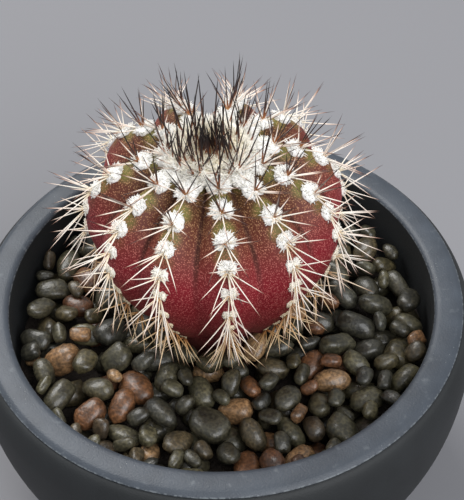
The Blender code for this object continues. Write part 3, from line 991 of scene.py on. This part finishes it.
# %% Stand the crown's spines
CROWN_SPINE_THICKNESS = 0.25 * MM
CROWN_RINGS = (
    # how many, radius, lean outwards, spread of the lean, shortest, longest
    (22, 1.8, 0.0, 0.30, 5, 8),
    (16, 3.2, -0.06, 0.14, 9, 12.5),
    (22, 5.0, -0.14, 0.14, 10, 13.5),
    (22, 7.0, 0.0, 0.16, 10, 13.5),
    (18, 9.2, 0.25, 0.16, 10, 13.5),
)
crown_spines = new_bundle()
for count, radius, lean, spread, shortest, longest in CROWN_RINGS:
    for number in range(count):
        turn = 2 * math.pi * (number + crown_dice.uniform(-0.4, 0.4)) / count
        across = Vector((math.cos(turn), math.sin(turn), 0))
        foot = crown_foot + across * radius * MM + Vector((0, 0, 0.8 * MM))
        side = Vector((-across.y, across.x, 0)) * crown_dice.gauss(0, 0.13)
        aim = (Vector((0, 0, 1)) + across * crown_dice.gauss(lean, spread) + side).normalized()
        length = crown_dice.uniform(shortest, longest) * MM
        tone = crown_dice.uniform(0.88, 1.0)
        add_spine(crown_spines, foot, aim, length, CROWN_SPINE_THICKNESS, 0.04, tone, crown_dice)
finish_piece(crown_spines, "crown_spines", spine_paint, ["crown_tuft"])

# %% [markdown]
# ## Pebbles
# The dressing is a few hundred river pebbles. They are dropped one at a time: each tries several places on a
# map of the surface so far, takes the lowest, and is added to the map. So they pack and lean on each other
# the way poured pebbles do, clear of the wall and of the plant's neck.

# %% Map the surface under the pebbles
CELL = 0.5 * MM
# a height that no pebble reaches
BLOCKED = 1.0
WALL_ROOM = 0.9 * MM
NECK_ROOM = 0.3 * MM
BODY_ROOM = 0.4 * MM
HEAP_HEIGHT = 2.6 * MM
HEAP_WIDTH = 8 * MM
PEBBLE_CEILING = dressing_top + 0.6 * MM
cells_across = 2 * math.ceil(INNER_RADIUS / CELL) + 1
cell_line = (np.arange(cells_across) - cells_across // 2) * CELL
cell_x, cell_y = np.meshgrid(cell_line, cell_line, indexing="ij")
surface = np.full((cells_across, cells_across), soil_top)
from_plant = np.hypot(cell_x - plant_x, cell_y - plant_y)
surface[np.hypot(cell_x, cell_y) > INNER_RADIUS - WALL_ROOM] = BLOCKED
surface[from_plant < NECK_RADIUS + NECK_ROOM] = BLOCKED
heap = HEAP_HEIGHT * np.exp(-(((from_plant - NECK_RADIUS) / HEAP_WIDTH) ** 2))
belly = [crest(1 - step * (1 - WIDEST_LEVEL) / 60) for step in range(61)]
belly_radii, belly_heights = zip(*belly)
underside = widest_z + np.interp(from_plant, belly_radii, belly_heights)
under_body = np.where(from_plant < BODY_RADIUS, underside - BODY_ROOM, BLOCKED)
ceiling = np.minimum(PEBBLE_CEILING + heap, under_body)
print("map:", surface.shape)

# %% [markdown]
# While it is dropped, a pebble is an ellipsoid in a random lie. For each cell of the map under it, the lower
# and upper surface follow from one quadratic equation, and numpy works them all out at once.


# %% Find what a pebble covers
def ellipsoid_reach(sizes, turn):
    """Grid offsets under a turned ellipsoid, with its lower and upper surface over its centre."""
    rotation = np.array(turn)
    form = rotation @ np.diag(1 / np.array(sizes) ** 2) @ rotation.T
    half = int(math.ceil(max(sizes) / CELL))
    line = np.arange(-half, half + 1)
    step_x, step_y = np.meshgrid(line, line, indexing="ij")
    x, y = step_x * CELL, step_y * CELL
    linear = form[0, 2] * x + form[1, 2] * y
    rest = form[0, 0] * x * x + 2 * form[0, 1] * x * y + form[1, 1] * y * y - 1
    inside = linear**2 - form[2, 2] * rest
    keep = inside > 0
    root = np.sqrt(inside[keep])
    low = (-linear[keep] - root) / form[2, 2]
    high = (-linear[keep] + root) / form[2, 2]
    return step_x[keep], step_y[keep], low, high


def pebble_turn(dice):
    """A random lie: mostly flat, sometimes leaning or standing on edge."""
    lean = dice.gauss(0, 0.35)
    roll = dice.gauss(0, 0.45)
    yaw = dice.uniform(0, 2 * math.pi)
    return Matrix.Rotation(yaw, 3, "Z") @ Matrix.Rotation(lean, 3, "Y") @ Matrix.Rotation(roll, 3, "X")


print("cells under a 12 mm pebble:", len(ellipsoid_reach((6 * MM, 4 * MM, 3 * MM), Matrix.Identity(3))[0]))

# %% [markdown]
# Big pebbles are poured first, until sixty in a row find no place under the ceiling. Small ones then fill
# the chinks that are still deep enough to show the soil.

# %% Drop the pebbles
PLACES_TRIED = 22
MOST_PEBBLES = 900


def drop_pebble(dice, long_half, places):
    """Finds the lowest of several places for one pebble, and adds it to the map."""
    sizes = (long_half, long_half * dice.uniform(0.56, 0.8), long_half * dice.uniform(0.46, 0.62))
    best = None
    for _ in range(PLACES_TRIED):
        turn = pebble_turn(dice)
        step_x, step_y, low, high = ellipsoid_reach(sizes, turn)
        place = places[dice.randrange(len(places))]
        row = place[0] + step_x
        column = place[1] + step_y
        if min(row.min(), column.min()) < 0 or max(row.max(), column.max()) >= cells_across:
            continue
        centre_z = (surface[row, column] - low).max()
        top = centre_z + high.max()
        if (centre_z + high > ceiling[row, column]).any():
            continue
        if best is None or top < best[0]:
            best = (top, centre_z, row, column, high, turn, place)
    if best is None:
        return None
    top, centre_z, row, column, high, turn, place = best
    surface[row, column] = np.maximum(surface[row, column], centre_z + high)
    return Vector((cell_line[place[0]], cell_line[place[1]], centre_z)), turn, sizes


def pour(dice, shortest, longest, room, patience):
    """Drops pebbles of a range of sizes where there is room above the map, until many in a row find none."""
    poured = []
    misses = 0
    while misses < patience and len(poured) < MOST_PEBBLES:
        places = np.argwhere(ceiling - surface > room)
        long_half = dice.triangular(shortest, longest, 0.6 * shortest + 0.4 * longest)
        dropped = drop_pebble(dice, long_half, places)
        if dropped:
            poured.append(dropped)
            misses = 0
        else:
            misses += 1
    return poured


pebble_dice = random.Random(5)
pebbles = pour(pebble_dice, shortest=3.9 * MM, longest=6.3 * MM, room=0, patience=60)
chinks = pour(pebble_dice, shortest=2.6 * MM, longest=3.7 * MM, room=4.2 * MM, patience=14)
print("pebbles:", len(pebbles), "and in the chinks:", len(chinks))
pebbles += chinks

# %% [markdown]
# A river pebble isn't an ellipsoid: it is a little boxy and lopsided. Each one is a ball cut from a
# subdivided cube, bulged by a slow noise of its own. The lower layer shows only in the gaps, so it gets
# fewer faces. Every pebble keeps a tone, which its paint turns into a kind of stone.


# %% Shape the pebbles
def add_pebble(bm, pattern, centre, turn, sizes, tone):
    """Adds one pebble to a bmesh, with its own bulges."""
    tone_layer = bm.verts.layers.float["tone"]
    seed = Vector((tone * 91, centre.x * 3000, centre.y * 3000))
    squareness = 0.8 + 0.2 * (tone * 17 % 1)
    for vert in copy_in(bm, pattern):
        bulge = 1 + 0.2 * noise.noise(vert.co * 1.1 + seed)
        boxy = Vector([math.copysign(abs(c) ** squareness, c) for c in vert.co])
        local = Vector([c * s for c, s in zip(boxy * bulge * 0.95, sizes)])
        vert[tone_layer] = tone
        vert.co = centre + turn @ local


SHOWN_DEPTH = 6.5 * MM
fine_ball = ball_pattern(3)
coarse_ball = ball_pattern(1)
dressing = bmesh.new()
dressing.verts.layers.float.new("tone")
for centre, turn, sizes in pebbles:
    shown = centre.z > PEBBLE_CEILING - SHOWN_DEPTH
    add_pebble(dressing, fine_ball if shown else coarse_ball, centre, turn, sizes, pebble_dice.random())
print("dressing faces:", len(dressing.faces))

# %% [markdown]
# Most of the stones are wet-looking dark olive grey, some nearly black, about one in five is rust brown and
# a rare one is tan. Fine mineral grains and slow clouds break up each stone.

# %% Mix the pebble paint
pebble_paint = Paint("river_pebble", Specular_IOR_Level=0.5, Coat_Weight=0.3, Coat_Roughness=0.14)
tone = pebble_paint.attribute("tone")
stones = pebble_paint.ramp(
    tone,
    (0.00, tint(42, 41, 35)),
    (0.14, tint(66, 63, 50)),
    (0.28, tint(48, 48, 43)),
    (0.42, tint(86, 82, 62)),
    (0.56, tint(58, 58, 52)),
    (0.68, tint(76, 70, 50)),
    (0.80, tint(70, 60, 48)),
    (0.84, tint(84, 56, 40)),
    (0.93, tint(106, 72, 48)),
    (0.98, tint(140, 112, 82)),
)
clouds = pebble_paint.grain(230, 4)
minerals = pebble_paint.grain(1300, 3)
cloud_shades = pebble_paint.ramp(clouds, (0.3, (0.45, 0.46, 0.46, 1)), (0.7, (1.4, 1.36, 1.26, 1)))
mineral_shades = pebble_paint.ramp(minerals, (0.40, (0.62, 0.62, 0.62, 1)), (0.63, (1.4, 1.38, 1.32, 1)))
stones = stones * cloud_shades * mineral_shades
pebble_paint.colour(stones)
pebble_paint.roughness(0.30 + clouds * 0.22)
pebble_paint.bump(minerals + clouds, 0.16 * MM)
finish_piece(dressing, "river_pebbles", pebble_paint, ["pebble_dressing"])
